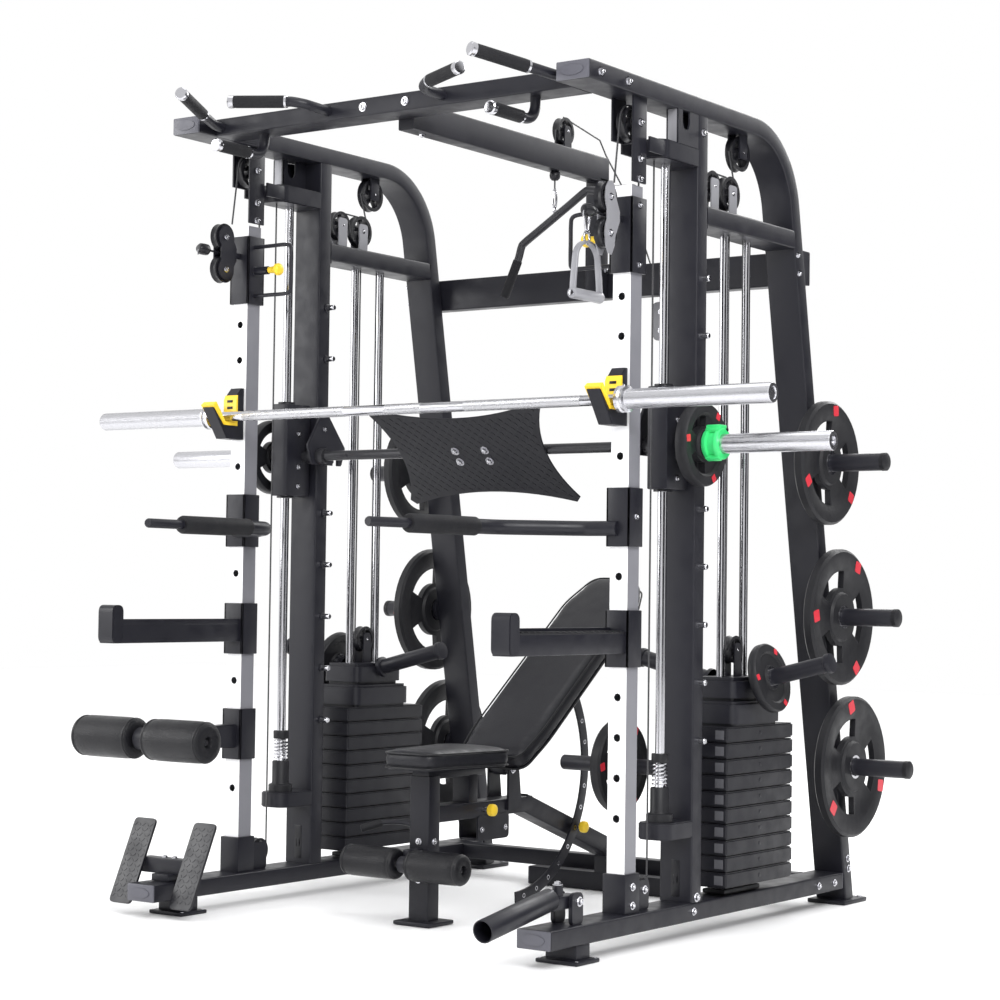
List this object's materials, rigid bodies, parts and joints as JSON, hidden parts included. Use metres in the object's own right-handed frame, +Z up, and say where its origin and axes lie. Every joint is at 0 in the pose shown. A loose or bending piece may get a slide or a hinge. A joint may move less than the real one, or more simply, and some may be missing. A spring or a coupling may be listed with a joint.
{
  "type": "smith machine",
  "caption": "Smith machine with weight stacks, cable pulleys, racked bar, pull-up grips, dip and spotter arms, leg-press plate, landmine and an adjustable bench.",
  "frame": {"origin": "on the floor, at the middle of the machine's overall box", "axes": "+Z up, -Y towards the user, +X to the right as seen from the front"},
  "size_m": [2.2, 1.9589, 2.2629],
  "materials": {
    "black_steel": "satin powder coat",
    "white_steel": "satin powder coat",
    "chrome": "polished",
    "black_bar": "satin, with polished sleeves",
    "stack_iron": "painted",
    "rubber": "matte moulded",
    "foam": "soft foam under a leather-grain skin",
    "vinyl": "smooth vinyl over foam",
    "yellow_plastic": "satin",
    "green_plastic": "satin",
    "grey_steel": "satin",
    "black_cable": "coated wire rope"
  },
  "bodies": {
    "frame": {"base_beam_left": "black_steel", "front_upright_left": "white_steel", "main_upright_left": "black_steel", "side_frame_left": "black_steel", "guide_rod_left": "chrome", "stack_guide_left": "chrome", "lower_stack_left": "stack_iron", "cable_left": "black_cable", "base_beam_right": "black_steel", "front_upright_right": "white_steel", "main_upright_right": "black_steel", "side_frame_right": "black_steel", "guide_rod_right": "chrome", "stack_guide_right": "chrome", "lower_stack_right": "stack_iron", "cable_right": "black_cable", "front_crossbar": "black_steel", "rear_crossbar": "black_steel", "lower_crossbar": "black_steel", "center_beam": "black_steel", "foot_plate": "black_steel", "leg_roller_bracket": "black_steel"},
    "smith_carriage": {"smith_carriage_left": "black_steel", "smith_carriage_right": "black_steel"},
    "smith_bar": {"smith_bar": "black_bar", "smith_plate_right": "rubber"},
    "press_plate": {"leg_press_plate": "black_steel"},
    "smith_plate_left": {"smith_plate_left": "rubber"},
    "bar_clamp": {"bar_clamp": "green_plastic"},
    "barbell": {"barbell": "chrome"},
    "stack_head_left": {"stack_head_left": "stack_iron"},
    "j_hook_left": {"j_hook_left": "black_steel"},
    "spotter_arm_left": {"spotter_arm_left": "black_steel"},
    "dip_handle_left": {"dip_handle_left": "black_steel"},
    "pulley_carriage_left": {"pulley_carriage_left": "black_steel"},
    "pulley_swivel_left": {"pulley_swivel_left": "grey_steel"},
    "pop_pin_left": {"pop_pin_left": "yellow_plastic"},
    "stack_head_right": {"stack_head_right": "stack_iron"},
    "j_hook_right": {"j_hook_right": "black_steel"},
    "spotter_arm_right": {"spotter_arm_right": "black_steel"},
    "dip_handle_right": {"dip_handle_right": "black_steel"},
    "pulley_carriage_right": {"pulley_carriage_right": "black_steel"},
    "pulley_swivel_right": {"pulley_swivel_right": "grey_steel"},
    "pop_pin_right": {"pop_pin_right": "yellow_plastic"},
    "d_handle": {"d_handle": "grey_steel"},
    "lat_bar": {"lat_bar": "black_steel"},
    "leg_rollers": {"leg_rollers": "foam"},
    "bench_frame": {"bench_frame": "black_steel"},
    "bench_rollers": {"bench_rollers": "foam"},
    "seat_pad": {"seat_pad": "vinyl"},
    "bench_back": {"back_frame": "black_steel", "back_pad": "vinyl"},
    "landmine": {"landmine_tube": "black_steel"},
    "storage_plate_top_left": {"storage_plate_top_left": "rubber"},
    "storage_plate_top_right": {"storage_plate_top_right": "rubber"},
    "storage_plate_middle_left": {"storage_plate_middle_left": "rubber"},
    "storage_plate_middle_right": {"storage_plate_middle_right": "rubber"},
    "storage_plate_low_left": {"storage_plate_low_left": "rubber"},
    "storage_plate_low_right": {"storage_plate_low_right": "rubber"},
    "inner_plate": {"inner_plate": "rubber"}
  },
  "joints": [
    {"name": "smith_slide", "type": "slide", "parent": "frame", "child": "smith_carriage", "axis": [0, 0, 1], "range_m": [-0.6, 0.45]},
    {"name": "smith_turn", "type": "hinge", "parent": "smith_carriage", "child": "smith_bar", "pos_m": [0, -0.0814, 1.267], "axis": [1, 0, 0], "range_deg": [0, 60]},
    {"name": "press_plate_tilt", "type": "hinge", "parent": "smith_carriage", "child": "press_plate", "pos_m": [0, -0.0814, 1.267], "axis": [1, 0, 0], "range_deg": [-20, 20]},
    {"name": "smith_plate_left_slide", "type": "slide", "parent": "smith_bar", "child": "smith_plate_left", "axis": [-1, 0, 0], "range_m": [0, 0.3]},
    {"name": "bar_clamp_slide", "type": "slide", "parent": "smith_bar", "child": "bar_clamp", "axis": [1, 0, 0], "range_m": [0, 0.25]},
    {"name": "barbell_lift", "type": "slide", "parent": "frame", "child": "barbell", "axis": [0, 0, 1], "range_m": [0, 0.2]},
    {"name": "stack_lift_left", "type": "slide", "parent": "frame", "child": "stack_head_left", "axis": [0, 0, 1], "range_m": [0, 1]},
    {"name": "j_hook_move_left", "type": "slide", "parent": "frame", "child": "j_hook_left", "axis": [0, 0, 1], "range_m": [-0.1, 0]},
    {"name": "spotter_move_left", "type": "slide", "parent": "frame", "child": "spotter_arm_left", "axis": [0, 0, 1], "range_m": [-0.1, 0.1]},
    {"name": "dip_move_left", "type": "slide", "parent": "frame", "child": "dip_handle_left", "axis": [0, 0, 1], "range_m": [-0.1, 0.1]},
    {"name": "pulley_carriage_slide_left", "type": "slide", "parent": "frame", "child": "pulley_carriage_left", "axis": [0, 0, 1], "range_m": [-0.2, 0.015]},
    {"name": "pulley_swivel_turn_left", "type": "hinge", "parent": "pulley_carriage_left", "child": "pulley_swivel_left", "pos_m": [-0.636, -0.3714, 1.818], "axis": [0, 0, 1], "range_deg": [-40, 40]},
    {"name": "pop_pin_pull_left", "type": "slide", "parent": "pulley_carriage_left", "child": "pop_pin_left", "axis": [1, 0, 0], "range_m": [0, 0.012], "stiffness_N_per_m": 800},
    {"name": "stack_lift_right", "type": "slide", "parent": "frame", "child": "stack_head_right", "axis": [0, 0, 1], "range_m": [0, 1]},
    {"name": "j_hook_move_right", "type": "slide", "parent": "frame", "child": "j_hook_right", "axis": [0, 0, 1], "range_m": [-0.1, 0]},
    {"name": "spotter_move_right", "type": "slide", "parent": "frame", "child": "spotter_arm_right", "axis": [0, 0, 1], "range_m": [-0.1, 0.1]},
    {"name": "dip_move_right", "type": "slide", "parent": "frame", "child": "dip_handle_right", "axis": [0, 0, 1], "range_m": [-0.1, 0.1]},
    {"name": "pulley_carriage_slide_right", "type": "slide", "parent": "frame", "child": "pulley_carriage_right", "axis": [0, 0, 1], "range_m": [-0.2, 0.015]},
    {"name": "pulley_swivel_turn_right", "type": "hinge", "parent": "pulley_carriage_right", "child": "pulley_swivel_right", "pos_m": [0.636, -0.3714, 1.818], "axis": [0, 0, 1], "range_deg": [-40, 40]},
    {"name": "pop_pin_pull_right", "type": "slide", "parent": "pulley_carriage_right", "child": "pop_pin_right", "axis": [-1, 0, 0], "range_m": [0, 0.012], "stiffness_N_per_m": 800},
    {"name": "d_handle_swing", "type": "hinge", "parent": "pulley_swivel_right", "child": "d_handle", "pos_m": [0.6, -0.4384, 1.842], "axis": [1, 0, 0], "range_deg": [-60, 5]},
    {"name": "lat_bar_swing", "type": "hinge", "parent": "frame", "child": "lat_bar", "pos_m": [0, 0.3026, 2.01], "axis": [1, 0, 0], "range_deg": [-45, 45]},
    {"name": "leg_roller_spin", "type": "hinge", "parent": "frame", "child": "leg_rollers", "pos_m": [-0.636, -0.6814, 0.478], "axis": [1, 0, 0], "continuous": true},
    {"name": "landmine_pitch", "type": "hinge", "parent": "frame", "child": "landmine", "pos_m": [0.636, -0.5394, 0.146], "axis": [-1, 0, 0], "range_deg": [0, 60]},
    {"name": "bench_slide", "type": "slide", "parent": "frame", "child": "bench_frame", "axis": [0, -1, 0], "range_m": [0, 0.4]},
    {"name": "bench_back_tilt", "type": "hinge", "parent": "bench_frame", "child": "bench_back", "pos_m": [0, 0.0741, 0.3914], "axis": [1, 0, 0], "range_deg": [-37, 45]},
    {"name": "seat_tilt", "type": "hinge", "parent": "bench_frame", "child": "seat_pad", "pos_m": [0, -0.0314, 0.4], "axis": [-1, 0, 0], "range_deg": [0, 20]},
    {"name": "bench_roller_spin", "type": "hinge", "parent": "bench_frame", "child": "bench_rollers", "pos_m": [0, -0.3614, 0.165], "axis": [1, 0, 0], "continuous": true},
    {"name": "storage_plate_top_left_slide", "type": "slide", "parent": "frame", "child": "storage_plate_top_left", "axis": [-1, 0, 0], "range_m": [0, 0.16]},
    {"name": "storage_plate_top_right_slide", "type": "slide", "parent": "frame", "child": "storage_plate_top_right", "axis": [1, 0, 0], "range_m": [0, 0.16]},
    {"name": "storage_plate_middle_left_slide", "type": "slide", "parent": "frame", "child": "storage_plate_middle_left", "axis": [-1, 0, 0], "range_m": [0, 0.16]},
    {"name": "storage_plate_middle_right_slide", "type": "slide", "parent": "frame", "child": "storage_plate_middle_right", "axis": [1, 0, 0], "range_m": [0, 0.16]},
    {"name": "storage_plate_low_left_slide", "type": "slide", "parent": "frame", "child": "storage_plate_low_left", "axis": [-1, 0, 0], "range_m": [0, 0.16]},
    {"name": "storage_plate_low_right_slide", "type": "slide", "parent": "frame", "child": "storage_plate_low_right", "axis": [1, 0, 0], "range_m": [0, 0.16]},
    {"name": "inner_plate_slide", "type": "slide", "parent": "frame", "child": "inner_plate", "axis": [-1, 0, 0], "range_m": [0, 0.15]}
  ]
}
